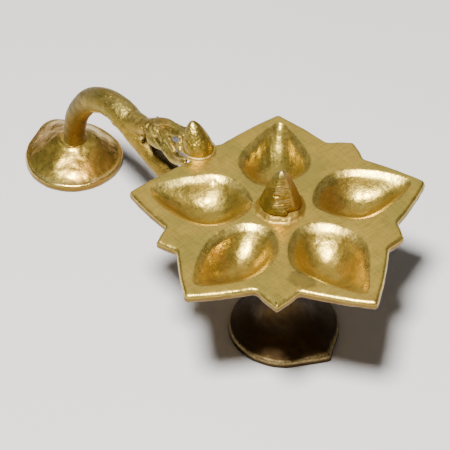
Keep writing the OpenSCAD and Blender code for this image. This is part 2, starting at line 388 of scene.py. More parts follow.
# Each well's lip in millimetres from the plate's centre, its deepest place, and its depth
WELLS = (
    Well(((54.6, -4.8), (47, 2.4), (40.5, 8.2), (34.5, 11.4), (28, 11.4), (21.3, 9.0), (16.5, 4.5),
          (14.6, -1.5), (17.6, -7.6), (22.2, -12.4), (28, -15.6), (35.5, -14.4), (44.5, -11.2),
          (51.5, -8.2)), (29.6, -2.8), 10.6),
    Well(((19.6, 52.2), (12, 49), (5.2, 43.3), (0.2, 37.5), (-1.8, 32), (-1.0, 26.2), (1.9, 20),
          (6.6, 15.8), (13, 17.4), (18.8, 20.8), (22.8, 25.6), (23.9, 32), (23.4, 40), (22.2, 47)),
         (11.8, 32.2), 10.6),
    Well(((-42.3, 36), (-36.5, 35.6), (-29, 33.4), (-22, 31.2), (-17.2, 28), (-14.9, 23),
          (-15.2, 17), (-16.4, 11), (-19, 7.2), (-23.8, 5.8), (-29.5, 6.6), (-34.6, 9.4),
          (-38, 15), (-40, 21.5), (-42, 29)), (-26.8, 19.4), 9.6),
    Well(((-45, -29.5), (-42, -21), (-38.2, -14), (-34.9, -9.0), (-30, -5.5), (-23.5, -4.6),
          (-16.8, -5.9), (-12.6, -10), (-11.6, -16.5), (-13, -23), (-16.9, -28.4), (-22.7, -31.4),
          (-30, -33), (-37, -33.6), (-42.6, -32.4)), (-25.8, -18.4), 10.4),
    Well(((9.2, -52), (3.4, -46.5), (-0.8, -40), (-3.6, -34), (-4.6, -27.5), (-3.8, -20.5),
          (-0.5, -15.8), (5, -13.6), (10.7, -15.2), (15.3, -19.6), (18.3, -26), (18.9, -33),
          (17.3, -40), (13.8, -47)), (7.2, -28.8), 10.6),
)


GRID = np.arange(-GRID_REACH, GRID_REACH + GRID_STEP / 2, GRID_STEP)
WELL_FIELD = np.maximum.reduce([w.drops(*np.meshgrid(GRID, GRID)) for w in WELLS])
for grid_axis in (0, 1):
    WELL_FIELD = smoothed(WELL_FIELD, WELL_BLUR, int(3 * WELL_BLUR / GRID_STEP) + 1, GRID_STEP,
                          grid_axis)


def well_depth(p):
    """Depth of the wells below the plate's top at a place."""
    u, v = ((min(max(c, -GRID_REACH), GRID_REACH - 0.01) + GRID_REACH) / GRID_STEP for c in p[:2])
    i, j = int(u), int(v)
    u, v = u - i, v - j
    low_row = blend(WELL_FIELD[j, i], WELL_FIELD[j, i + 1], u)
    high_row = blend(WELL_FIELD[j + 1, i], WELL_FIELD[j + 1, i + 1], u)
    return float(blend(low_row, high_row, v))


def star_corners():
    """The plate's outline corners: the only places that its top and its underside share."""
    spots = {}
    top, base = PLATE_TOP * MM, (PLATE_TOP - PLATE_T) * MM
    for v in frame["nodes"]["star_plate"].data.vertices:
        for level in (top, base):
            place = v.co.xy / MM
            at_edge = place.length > RIM_FROM and (place - REAR_AT).length > 3
            if abs(v.co.z - level) < 1e-5 and at_edge:
                spots.setdefault((round(place.x, 2), round(place.y, 2)), set()).add(level)
    corners = [Vector(p) for p, levels in spots.items() if len(levels) == 2]
    return sorted(corners, key=lambda p: atan2(p.y, p.x))


def corner_wear(corner):
    """How far back a corner of the star is worn round."""
    if corner.length < POINTS_FROM:
        return 1.3
    return 3.2 if 50 < bearing(corner) < 80 else 2.2


def star_outline():
    """The hand-cut edge: slightly bowed sides and worn corners."""
    corners = star_corners()
    count = len(corners)
    out = []
    for i, corner in enumerate(corners):
        before, after = corners[i - 1], corners[(i + 1) % count]
        start = corner + (before - corner).normalized() * corner_wear(corner)
        end = corner + (after - corner).normalized() * corner_wear(corner)
        for t in (0, 0.25, 0.5, 0.75):
            out.append(blend(blend(start, corner, t), blend(corner, end, t), t))
        out.append(end)
        stop = after + (corner - after).normalized() * corner_wear(after)
        side = stop - end
        outward = Vector((side.y, -side.x)).normalized()
        steps = max(2, round(side.length / 1.5))
        bow = BOW * side.length
        for k in range(1, steps):
            t = k / steps
            out.append(end + side * t + outward * bow * 4 * t * (1 - t))
    return [p + p.normalized() * 0.22 * grain((p.x, p.y, 0), 5, 3) for p in out]


def inset(outline, distance):
    """The outline moved inwards."""
    count = len(outline)
    out = []
    for i, p in enumerate(outline):
        along = (outline[(i + 1) % count] - outline[i - 1]).normalized()
        out.append(p - Vector((along.y, -along.x)) * distance)
    # Points that have passed each other at a sharp corner are drawn together
    for _ in range(60):
        for i in range(count):
            if (out[i] - out[i - 1]).dot(outline[i] - outline[i - 1]) < 0:
                out[i - 1] = out[i] = (out[i - 1] + out[i]) / 2
    return out


def inside(p, polygon):
    """Whether a point lies inside a closed polygon."""
    hit = False
    for a, b in zip(polygon, polygon[1:] + polygon[:1]):
        if (a.y > p.y) != (b.y > p.y) and p.x < a.x + (p.y - a.y) / (b.y - a.y) * (b.x - a.x):
            hit = not hit
    return hit


def fill(border, holes, spacing, height):
    """Triangles between a border and holes, with inner points on a loose grid."""
    loops = [border] + holes
    points, edges = [], []
    for loop in loops:
        base, count = len(points), len(loop)
        points += loop
        edges += [(base + i, base + (i + 1) % count) for i in range(count)]
    rim = np.array([tuple(p) for p in points])
    row_step = spacing * sqrt(3) / 2
    reach = max(p.length for p in border)
    rows = int(reach / row_step) + 1
    cols = int(reach / spacing) + 1
    for j in range(-rows, rows + 1):
        for i in range(-cols, cols + 1):
            p = Vector(((i + 0.5 * (j % 2)) * spacing, j * row_step))
            if np.min(np.hypot(rim[:, 0] - p.x, rim[:, 1] - p.y)) < 0.6 * spacing:
                continue
            if inside(p, border) and not any(inside(p, hole) for hole in holes):
                points.append(p)
    flat, _, triangles, *_ = geometry.delaunay_2d_cdt(points, edges, [], 0, 1e-6)
    kept = []
    for tri in triangles:
        centre = (flat[tri[0]] + flat[tri[1]] + flat[tri[2]]) / 3
        if inside(centre, border) and not any(inside(centre, hole) for hole in holes):
            kept.append(list(tri))
    return [(p.x, p.y, height(p)) for p in flat], kept


def bulge(p):
    """How far the wells' walls reach below the plate's underside at a place."""
    deepest = -PLATE_T
    for well in WELLS:
        if (p - well.middle).length < 34:
            level = well.level(p, WELL_WALL)
            deepest = max(deepest, (well.depth + WELL_WALL) * (1 - level ** SHARPNESS) - PLATE_T)
    soft = 1.4
    at_edge = 0.5 * (hypot(PLATE_T, soft) - PLATE_T)
    return max(0.0, 0.5 * (deepest + hypot(deepest, soft)) - at_edge)


# Rings of points in a well, as shares of the way from its deepest place to its lip, and
# rings round it, as distances beyond the lip
LEVELS = (1.0, 0.96, 0.91, 0.85, 0.78, 0.70, 0.62, 0.53, 0.44, 0.35, 0.26, 0.17, 0.08)
OUTSIDE = (3.4, 2.9, 2.4, 1.9, 1.4, 0.9, 0.5, 0.2)


def well_rings(well):
    """Rings of points from the flat over a well's lip to its bottom, and the bottom point."""
    def sunk(p):
        return (p.x, p.y, PLATE_TOP - well_depth(p))

    rings = []
    for out in OUTSIDE:
        rings.append([sunk(p + (p - well.middle).normalized() * out) for p in well.lip])
    for level in LEVELS:
        rings.append([sunk(well.middle + (p - well.middle) * level) for p in well.lip])
    return rings, sunk(well.middle)


def star_plate():
    outline = star_outline()
    # Edge of the plate from its top to its underside: inset and drop
    edge = ((2.0, 0.0), (1.4, 0.07), (0.9, 0.26), (0.48, 0.60), (0.18, 1.05), (0.02, 1.6),
            (0.0, 2.4), (0.05, 3.1), (0.3, 3.6), (0.7, 3.9), (1.2, 4.0))
    loops = [[p * (1 + 0.003 * grain((p.x, p.y, drop * 3), 2.2, 5) * min(drop, 1))
              for p in inset(outline, distance)] for distance, drop in edge]
    points = [(p.x, p.y, PLATE_TOP - max(drop, well_depth(p)) - bulge(p) * (drop / PLATE_T) ** 8)
              for loop, (_, drop) in zip(loops, edge) for p in loop]
    wells = [well_rings(well) for well in WELLS]
    holes = [[Vector(p[:2]) for p in rings[0]] for rings, _ in wells]
    parts = [(points, strips(len(edge), len(outline))),
             fill(loops[0], holes, 2.0, lambda p: PLATE_TOP - well_depth(p)),
             fill(loops[-1], [], 1.2, lambda p: PLATE_TOP - PLATE_T - bulge(p))]
    for rings, bottom in wells:
        ring_points = [p for ring in rings for p in ring] + [bottom]
        last = (len(rings) - 1) * SPOKES
        ring_faces = []
        for k in range(SPOKES):
            m = (k + 1) % SPOKES
            for base in range(0, last, SPOKES):
                ring_faces.append([base + k, base + m, base + SPOKES + m, base + SPOKES + k])
            ring_faces.append([last + k, last + m, last + SPOKES])
        parts.append((ring_points, ring_faces))
    obj = new_object("plate", *join(parts))
    filed_well = WELLS[2]
    filed_along = turn(-38)

    def hammered(p, n):
        wave = lumps(p, (0.12, 17, 1), (0.09, 6, 2))
        if n.z > 0 and p.xy.length < POINTS_FROM:
            depth = PLATE_TOP - p.z
            wave += lumps(p, (0.30, 8, 9), (0.17, 3.5, 19)) * ramp(depth, 0.6, 4)
            if filed_well.level(p.xy) < 1.15:
                across = p.x * filed_along.y - p.y * filed_along.x
                along = p.xy.dot(filed_along)
                wave += 0.22 * grain((along / 9, across / 1.5, 0), 1, 29) * ramp(depth, 0.3, 2.5)
            # A nick in the far wall of the rear right well
            wave -= 0.7 * near(p, (-35.0, -8.4), 1.0)
        return p + Vector((0, 0, wave))

    shape(obj, hammered)

    def worn(p, n):
        if p.z < PLATE_TOP - 2.4 or n.z < -0.2:
            return 0.0
        rim = min((well.level(p.xy) - 1) * well.reach(p.xy) for well in WELLS)
        lip = 0.4 * bell(rim - 1.4, 1.6)
        bevel = ramp(n.z, 0.3, 0.6) * fade(n.z, 0.8, 0.98)
        edge_wear = bevel if p.xy.length > RIM_FROM else 0.0
        return max(lip, 0.4 * edge_wear)

    def copper(p, n):
        if n.z < 0:
            return 0.0
        # Place, size and strength
        spots = (((2.5, 25), 7.5, 1.0), ((-1.5, 31), 4, 0.6), ((-34, 11), 5.5, 0.7),
                 ((-2, -36), 6.5, 0.8), ((4, -44), 7, 0.5), ((22, -10.5), 6, 0.5),
                 ((18, 2), 4, 0.3), ((-37, -31), 6, 0.6), ((64, -8.5), 4.5, 1.0),
                 ((45, 24), 4, 0.6), ((38, 4), 7, 0.25), ((-60, -4), 6, 0.2))
        wall = ramp(PLATE_TOP - p.z, 0.6, 2.5)
        return max(w * near(p, spot, size) * (wall if Vector(spot).length < 50 else 1)
                   for spot, size, w in spots)

    def stain_and_shade(p, n):
        # Side and under faces of the plate are darkened as painted shade; the dark oval on top is a stain
        if n.z < 0.5:
            return fade(n.z, 0.1, 0.45)
        # A dark oval with a fainter middle, in front of the finial
        rel = (p.xy - Vector((35.5, -20.5)))
        d = hypot(rel.dot(turn(20)) / 6.5, rel.dot(turn(110)) / 4.6)
        d += 0.25 * grain(p, 3, 77)
        return fade(d, 0.85, 1.1) * (0.5 + 0.3 * ramp(d, 0.6, 0.95))

    def oxide_and_shade(p, n):
        # Patina deepens down the wells; the side faces, and each well's wall on the side nearer the camera,
        # which faces away from it, get painted shade
        if n.z < 0.3:
            return 1.0
        well = min(WELLS, key=lambda w: (p.xy - w.middle).length)
        nearer = (p.xy - well.middle).dot(turn(-40)) / 12
        return (0.7 + 0.5 * ramp(nearer, -0.3, 0.8)) * ramp(PLATE_TOP - p.z, 1.5, 7.0)

    coat(obj, worn, oxide_and_shade, copper, stain_and_shade)
    install(obj, "plate_brass", "star_plate")


# ---- Centre finial and its ring ----


def smooth_profile(profile, steps=4):
    return [(max(0.0, r), z) for r, z in catmull(profile, steps)]


def center_collar():
    z = PLATE_TOP
    profile = [(0, z - 0.5), (11.6, z - 0.5), (11.9, z - 0.35), (11.4, z - 0.12), (10.9, z + 0.06),
               (10.45, z + 0.28), (10.15, z + 0.58), (9.9, z + 1.0), (9.5, z + 1.5), (9.0, z + 1.95),
               (8.2, z + 2.2), (0, z + 2.2)]
    obj = new_object("collar", *lathe(smooth_profile(profile), 144, FINIAL_AT))
    shape(obj, uneven(FINIAL_AT, (0.45, 5, 4), (0.3, 1.8, 5), (0.34, 3.2, 6)))
    # The wear layer here is a painted highlight on the lower slope facing about -42 degrees, toward the key
    # light and camera
    coat(obj, wear_and_sheen=lambda p, n: 0.3 * facing(n, -42, 0.4, 0.7) * fade(p.z, z + 1, z + 2),
         patina_and_shade=lambda p, n: 0.6 + 0.4 * ramp(p.z, z + 1, z + 2.4),
         copper=lambda p, n: 0.3 * facing(n, -5, 0.2, 0.9))
    install(obj, "bright_brass", "center_collar")


def center_finial():
    sunk = 0.7
    z0, tall = COLLAR_TOP - sunk, FINIAL_TOP - COLLAR_TOP + sunk
    base_r = 8.9
    steps = 90
    profile = [(0, z0)]
    for i in range(steps + 1):
        t = i / steps
        round_end = min(1.0, (1 - t) / 0.05) ** 0.2 if t > 0.95 else 1.0
        profile.append((base_r * (1 - t) ** 0.6 * (0.97 + 0.03 * round_end), z0 + tall * t))
    obj = new_object("finial", *lathe(profile, 160, FINIAL_AT))
    # Faces left by the file: direction, half of the angle they span, and how flat they are
    faces = ((-31, 33, 0.85), (-98, 34, 0.55), (36, 34, 0.65), (108, 38, 0.4), (184, 38, 0.3),
             (-136, 20, 0.2))

    def angle_of(p):
        return bearing(p.xy - FINIAL_AT)

    def front(p):
        """1 on the flat that carries the file's grooves, 0 elsewhere."""
        angle, up = angle_of(p), p.z - z0
        across = ramp(angle, -82, -62) * fade(angle, -8, 4)
        return across * ramp(up, 1, 3) * fade(up, 12, 16)

    def groove(p):
        return grain((angle_of(p) / 110, 0, p.z), 0.50, 8)

    def filed(p, n):
        rel = p.xy - FINIAL_AT
        r = rel.length
        if r < 0.05:
            return p
        way = rel / r
        angle = angle_of(p)
        up = p.z - z0
        for centre, half, flatness in faces:
            off = abs((angle - centre + 180) % 360 - 180)
            if off < half:
                cut = 1 - cos(radians(half)) / cos(radians(off))
                r *= 1 - flatness * cut * ramp(up, 0.5, 6)
        # File grooves across the front flat, one of them deep
        r -= front(p) * (0.15 + 0.26 * groove(p))
        deep = 0.55 * bell(p.z - 80.6 - 0.01 * angle, 0.32)
        r -= deep * fade(abs(angle + 62), 6, 16)
        # Crevice where the right of the base has parted from the ring
        r -= 1.5 * fade(up, 0.9, 2.2) * fade(abs(angle + 6), 8, 20)
        r *= 1 + 0.016 * grain(p, 3, 7) + 0.008 * grain(p, 1.2, 9)
        return Vector((*(FINIAL_AT + way * max(r, 0.05)), p.z + 0.1 * grain(p, 5, 3)))

    shape(obj, filed)
    # Painted shade on the side facing about -125 degrees, turned away from the key light, through the
    # patina layer
    coat(obj, wear_and_sheen=lambda p, n: max(0.8 * ramp(p.z, FINIAL_TOP - 4, FINIAL_TOP),
                 0.5 * fade(abs(angle_of(p) - 2), 3, 9),
                 0.7 * front(p) * ramp(-groove(p), 0.0, 0.3)),
         patina_and_shade=lambda p, n: (0.2 + 0.8 * facing(n, -125, 0.0, 0.6)
                 + 0.6 * fade(p.z, COLLAR_TOP, COLLAR_TOP + 4)
                 + 0.8 * front(p) * ramp(groove(p), 0.0, 0.3)),
         copper=lambda p, n: 0.8 * facing(n, 30, 0.0, 0.7))
    install(obj, "finial_brass", "center_finial")


# ---- Rear finial and its ring ----


def rear_collar():
    z = PLATE_TOP
    profile = [(0, z - 0.3), (7.3, z - 0.3), (7.5, z + 0.2), (7.45, z + 0.9), (7.2, z + 1.3),
               (6.8, z + 1.45), (6.4, z + 1.35), (5.8, z + 1.4), (0, z + 1.4)]
    obj = new_object("rear_ring", *lathe(smooth_profile(profile), 112, REAR_AT))
    shape(obj, uneven(REAR_AT, (0.22, 4, 14), (0.10, 1.5, 15), (0.16, 3, 16)))
    coat(obj, wear_and_sheen=lambda p, n: 0.7 * ramp((p.xy - REAR_AT).length, 6.7, 7.1), patina_and_shade=0.4)
    install(obj, "bright_brass", "rear_collar")


def rear_finial():
    z0 = REAR_RING_TOP - 0.7
    knob_top = 83.3
    tall = knob_top - z0
    base_r = 6.75
    steps = 70
    profile = [(0, z0)]
    for i in range(steps + 1):
        t = i / steps
        swell = 0.96 + 0.04 * sin(pi * min(1, 2 * t))
        profile.append((base_r * (1 - t ** 1.5) ** 0.6 * swell, z0 + tall * t))
    obj = new_object("rear_knob", *lathe(profile, 120, REAR_AT))
    tip_shift = 4.1
    lean = tip_shift / tall

    def leant(p, n):
        rel = p.xy - REAR_AT
        up = p.z - z0
        pitted = exp(-((rel.x - 2) / 4) ** 2 - ((rel.y + 3.5) / 4) ** 2) * ramp(up, 2, 4)
        w = 1 + 0.035 * grain(p, 5, 17) + 0.010 * grain(p, 1.6, 18)
        w += 0.05 * pitted * grain(p, 0.8, 20)
        return Vector((REAR_AT.x + rel.x * w - lean * up, REAR_AT.y + rel.y * w, p.z))

    shape(obj, leant)
    # Painted highlight near the tip on the side facing the key light at about -60 degrees, and painted
    # shade on the side facing about -120 degrees
    coat(obj, wear_and_sheen=lambda p, n: (0.6 * ramp(p.z, REAR_FINIAL_TOP - 8, REAR_FINIAL_TOP)
                 * facing(n, -60, -0.2, 0.5)),
         patina_and_shade=lambda p, n: 0.7 * facing(n, -120, 0.2, 0.9),
         copper=lambda p, n: 0.4 * facing(n, 30, 0.0, 0.8))
    install(obj, "finial_brass", "rear_finial")


# ---- Pedestal ----

FOOT_AT = Vector((1.6, 1.6))    # how far the foot has been cast off the stem's axis
FOOT_R = 24.5
CORNER_R = 28.5                 # reach of the rim's one corner, and its direction in degrees
CORNER_ANGLE = 4.0


def pedestal():
    head = PLATE_TOP - PLATE_T
    outer = [(FOOT_R - 3.9, 0.0), (FOOT_R - 0.6, 0.05), (FOOT_R, 0.6), (FOOT_R + 0.05, 1.8),
             (FOOT_R - 0.1, 3.0), (FOOT_R - 0.7, 3.8), (FOOT_R - 2.0, 4.6), (20, 6.4), (17, 8.3),
             (14, 10.4), (11.5, 13.2), (9.6, 16.4), (8.2, 20), (7.2, 24), (7.0, 30), (7.0, 38),
             (7.1, 46), (7.5, 53), (8.7, 59), (10.0, 63), (10.1, 64.6), (10.0, head + 0.2), (0, head + 0.2)]
    inner = [(0, 12.3), (5, 11.6), (9, 10.0), (14, 7.2), (18, 4.0), (20.2, 1.0), (FOOT_R - 3.9, 0.0)]
    obj = new_object("main_foot", *lathe(smooth_profile(inner, 3)[:-1] + smooth_profile(outer), 160))
    spread = acos(FOOT_R / CORNER_R)

    def cast(p, n):
        r = p.xy.length
        off_axis = fade(p.z, 6, 26)
        if r > 0.01:
            a = atan2(p.y, p.x) - radians(CORNER_ANGLE)
            a = abs((a + pi) % (2 * pi) - pi)
            stretch = 1 / cos(a - spread) if a < spread else 1.0
            weight = ramp(r, FOOT_R - 7, FOOT_R - 1) * fade(p.z, 5, 9)
            r2 = r * blend(1.0, stretch, weight)
            r2 += lumps(p, (0.30, 9, 21), (0.12, 3, 22)) * ramp(r, 3, 8)
            p = Vector((p.x / r * r2, p.y / r * r2, p.z))
        rise = 0.25 * grain(p, 8, 23) * ramp(p.z, 1.0, 4.0) * fade(p.z, 50, 60)
        return Vector((p.x + FOOT_AT.x * off_axis, p.y + FOOT_AT.y * off_axis, max(p.z + rise, 0.0)))

    shape(obj, cast)
    # The whole pedestal is fully patinated and near-black: painted shade, as it stands in the plate's
    # shadow
    coat(obj, wear_and_sheen=lambda p, n: (0.8 * ramp((p.xy - FOOT_AT).length, 23.2, 24.0) * ramp(p.z, 1.5, 3.0)
                 * fade(p.z, 3.9, 4.6)),
         patina_and_shade=1.0)
    install(obj, "dark_brass", "pedestal")


# ---- Handle ----

# Centre line of the handle from the rear foot over the crest and down to the stem:
# x, z, half-width and half-height
ARM_ROUTE = (
    (-149.4, 11.6, 5.7, 5.7), (-149.6, 15, 5.4, 5.4), (-149, 20, 5.3, 5.3),
    (-146.5, 29, 5.5, 5.5), (-142, 37, 5.7, 5.7), (-135.5, 45, 5.9, 5.9), (-128.5, 50, 6.1, 6.1),
    (-120.5, 53.5, 6.2, 6.2), (-111.5, 54.5, 6.4, 6.4), (-104, 52.5, 6.5, 6.6),
    (-98, 48.6, 5.8, 6.2), (-92, 45.0, 5.0, 5.4), (-86, 42.0, 4.8, 5.1), (-78, 40.6, 4.8, 5.9),
    (-60, 37.6, 4.9, 6.0), (-35, 32.5, 4.5, 5.0), (-20, 29.4, 3.9, 3.9), (-5.6, 29, 3.9, 3.9))
# The short fork from the crest up into the hood, and the tenon through the stem
BRANCH_ROUTE = (
    (-111, 52, 6.0, 6.1), (-104, 53, 5.9, 6.0), (-98, 55, 5.0, 5.1), (-92.5, 56.3, 4.4, 4.5),
    (-89, 56.8, 3.8, 3.9))
TENON_ROUTE = (
    (-6, 29, 2.8, 2.8), (0, 29, 2.8, 2.8), (7.2, 29, 2.8, 2.8), (7.8, 29, 3.5, 3.5),
    (8.4, 29, 3.0, 3.0))


def on_axis(route):
    """A route in the XZ plane as rows for a tube."""
    return [(x, 0, z, w, h) for x, z, w, h in route]


def handle_arm():
    obj = fuse("handle", [tube(on_axis(ARM_ROUTE), 28, 6), tube(on_axis(BRANCH_ROUTE), 28, 5),
                          tube(on_axis(TENON_ROUTE), 20, 3), ball((-89.9, -4.0, 54.2), 1.3)], 0.5, 5)

    def cast(p, n):
        lump = lumps(p, (0.15, 10, 31), (0.09, 3.4, 32))
        crest = bell(p.x + 106, 16) * ramp(p.z, 42, 52)
        lump += crest * lumps(p, (0.17, 2.2, 33), (0.10, 1.1, 34))
        return p + n * lump

    shape(obj, cast)
    nub = Vector((-89.9, -4.8, 54.6))
    hood_shadow_side = Vector((0.19, 0.87, 0.45))

    def worn(p, n):
        if (p - nub).length < 1.2:
            return 1.0
        crest = 0.3 * bell(p.x + 106, 16) * ramp(p.z, 40, 52)
        return (0.15 + crest) * ramp(n.z, 0.3, 0.9)

    def stain_and_shade(p, n):
        # Near-black painted shade in the gap under the hood, on faces turned toward the hood's shadow, and
        # lighter painted shade on the leg's lower end, darkest on its side facing +x
        gap_shade = (ramp(n.dot(hood_shadow_side), -0.12, 0.28) * ramp(p.x, -99, -87)
                * fade(p.x, -62, -30) * fade(p.z, 50, 53)
                * (1 - 0.7 * ramp(-n.z, -0.1, 0.6)))
        return gap_shade + (0.2 + 0.25 * ramp(n.x, -0.1, 0.6)) * fade(p.x, -146, -128)

    coat(obj, worn,
         patina_and_shade=lambda p, n: (0.4 + 0.5 * ramp(-n.z, -0.3, 0.8)
                 + 0.6 * fade(p.x, -140, -128)),
         copper=lambda p, n: (0.9 * ramp(n.x, 0.0, 0.8) * fade(p.z, 34, 50)
                 * fade(p.x, -140, -120) + 0.3 * ramp(p.x, -100, -85)),
         stain_and_shade=stain_and_shade)
    install(obj, "handle_brass", "handle_arm")


# ---- Hood ----


# Parts of the hood's near side: x, y, z and radius
HOOD_CROWN = (
    (-93, 0, 56, 4.4), (-90.4, 0, 57.6, 4.4), (-86.6, 0, 60.7, 3.9), (-83.7, 0, 63.3, 3.6),
    (-80.7, 0, 65.6, 3.2), (-77.8, 0, 67.2, 3.0), (-75, 0, 68, 2.9), (-72, 0, 68.4, 2.7),
    (-69, 0, 68.9, 2.4), (-66, 0, 69.7, 2.0), (-62.5, 0, 70.4, 1.8))
HOOD_FLANK = (
    (-88, -1.5, 60, 3.2), (-85.6, -2.5, 61.2, 3.1), (-83.3, -3.5, 60.2, 3.2),
    (-80, -4.8, 59.8, 2.9), (-76, -5.7, 60.4, 2.3), (-72.5, -6.4, 61, 1.5),
    (-70.5, -6.9, 61.2, 0.9))
HOOD_LEAF = (
    (-77, -3.6, 65.6, 1.6), (-73.4, -5, 64.5, 2.2), (-69.8, -6.3, 63.6, 2.5),
    (-66, -7.4, 63.0, 2.4), (-62, -8.4, 63.0, 2.2), (-58, -9.2, 64.4, 2.1),
    (-54.6, -9.8, 66.4, 1.7), (-52.6, -10, 67.4, 1.3), (-50.8, -10.2, 68.0, 0.9))
HOOD_COLUMN = (
    (-69, -2, 68.6, 2.0), (-65.5, -3, 69.3, 2.0), (-62.4, -4.0, 69.8, 2.1), (-61, -5, 67.6, 2.1),
    (-58.4, -6.5, 66.4, 1.9), (-56, -7.8, 66.8, 1.6), (-54, -8.6, 67.8, 1.4),
    (-52.2, -9.1, 67.6, 1.2))
HOOD_BODY = (
    (-84, -1.5, 62, 3.2), (-80.4, -2, 63.6, 3.1), (-75, -2.6, 65.2, 3.1), (-69.7, -3.2, 66, 2.9),
    (-65, -4.4, 65.8, 2.5), (-62, -5.4, 64.9, 2.0), (-59, -6.5, 64.6, 1.6))

# Ridges and grooves on the hood's sides: a route as x and z at 5 mm from the middle plane,
# a width, and a height. Each is carried onto the hood along the slant.
STROKES_AT = 5
HOOD_SLANT = Vector((0.560, -0.472, 0.680))
HOOD_STROKES = (
    (((-82, 66), (-81.3, 64), (-80.8, 62), (-79.6, 60.5), (-77.5, 59.4), (-75, 58.5)), 0.65, 0.55),
    (((-78.7, 68), (-78.9, 65), (-78.4, 63), (-76.8, 61.2), (-74.7, 59.6), (-73, 58.4)), 0.75, -0.95),
    (((-77.7, 63.5), (-77.6, 66.4), (-76.8, 68.4), (-75, 70), (-72.8, 70.6), (-68.7, 70.5)), 0.55, 0.6),
    (((-76.2, 67.2), (-74.8, 64.7), (-73.9, 62.5)), 1.1, -0.7),
    (((-72, 64.2), (-69.6, 62.9), (-67.6, 61.4), (-65.5, 60.1), (-63, 60), (-60.6, 61)), 0.65, 0.6),
    (((-69.4, 69.7), (-68.2, 68.5), (-67.4, 66.7), (-65.7, 64.6), (-64.4, 62.9), (-62.7, 61.7)),
     0.75, -0.9),
    (((-72.8, 72), (-70, 73.3), (-67.2, 74.2), (-64.4, 75.4)), 1.5, -0.8),
    (((-77.8, 70), (-75, 72.3), (-71.3, 74.6), (-67.8, 76.1), (-64.3, 76.7), (-60.9, 77.8)), 0.75, 0.4),
    (((-68.7, 70.7), (-66, 71.7), (-63, 73.3), (-60.3, 75)), 0.6, 0.4),
    (((-65.2, 70), (-61.7, 72.3)), 1.2, -0.6),
    (((-80.4, 71.2), (-83.6, 66.6), (-85.8, 62.4), (-86.4, 59), (-86.4, 56.7)), 0.9, -0.8))


def serpent_hood():
    parts = [tube([(x, y, z, r, r) for x, y, z, r in HOOD_CROWN], 22, 5)]
    for side, reach, leaf, column in ((1, 1.0, HOOD_LEAF, HOOD_COLUMN),
                                      (-1, 0.92, HOOD_LEAF[:-3], HOOD_COLUMN[:-3])):
        for route in (HOOD_FLANK, leaf, HOOD_BODY, column):
            parts.append(tube([(x, side * y * reach, z, r, r) for x, y, z, r in route], 18, 5))
    obj = fuse("hood", parts, 0.3, 12)
    strokes = [(np.array(catmull(route, 8)), width, height) for route, width, height in HOOD_STROKES]

    def carving(p):
        slid = HOOD_SLANT * ((STROKES_AT - abs(p.y)) / -HOOD_SLANT.y)
        x, z = p.x + slid.x, p.z + slid.z
        total = 0.0
        for route, width, height in strokes:
            d = float(np.min(np.hypot(route[:, 0] - x, route[:, 1] - z)))
            total += height * bell(d, width)
        return total

    heights = [carving(v.co / MM) * ramp(abs(v.co.y / MM), 0.3, 2) for v in obj.data.vertices]
    cuts = iter(heights)
    shape(obj, lambda p, n: p + n * (next(cuts) + 0.08 * grain(p, 3, 41) + 0.03 * grain(p, 1.3, 42)))
    relax(obj, 2, 0.4)
    ridges, grooves = iter(heights), iter(heights)
    # The stain layer paints near-black shade on the hood's downward faces
    coat(obj, wear_and_sheen=lambda p, n: 0.2 + 0.45 * ramp(next(ridges), -0.1, 0.4),
         patina_and_shade=lambda p, n: 0.1 + 0.9 * ramp(-next(grooves), 0.05, 0.5),
         copper=lambda p, n: 0.3 * ramp(grain(p, 5, 44), 0.0, 0.4),
         stain_and_shade=lambda p, n: ramp(-n.z, 0.3, 0.7))
    install(obj, "handle_brass", "serpent_hood")


def hood_rivet():
    lo, hi = low("hood_rivet"), high("hood_rivet")
    centre = (lo + hi) / 2
    # Half-round head: distance in from its top, and radius
    head = ((2.2, 1.1), (1.3, 1.6), (0.9, 1.9), (0.4, 1.5), (0.0, 0.5))
    parts = [tube([(centre.x, end - side * back, centre.z, r, r) for back, r in head], 24, 5)
             for side, end in ((-1, lo.y), (1, hi.y))]
    obj = new_object("rivet", *join(parts))
    shape(obj, lambda p, n: p + n * 0.08 * grain(p, 1.2, 51))
    coat(obj, patina_and_shade=0.8)
    install(obj, "rivet_brass", "hood_rivet")


def hood_solder():
    spots = (((-65.8, -4.5, 69.4), 1.0), ((-64.6, -4.7, 69.8), 1.3), ((-63.4, -4.9, 70.2), 1.3),
             ((-62.3, -5.0, 70.5), 1.0), ((-60.6, -7.2, 67.2), 0.8),
             ((-52.2, -8.0, 69.9), 1.1), ((-50.6, -7.7, 69.7), 1.0), ((-53.8, -8.0, 69.7), 1.0),
             ((-55.2, -7.7, 69.0), 1.2), ((-56.8, -7.6, 68.2), 1.2))
    obj = fuse("solder", [ball(spot, r) for spot, r in spots], 0.25, 2)
    shape(obj, lambda p, n: p + n * 0.22 * grain(p, 1.1, 61))
    install(obj, "solder", "hood_solder")


# ---- Rear foot ----


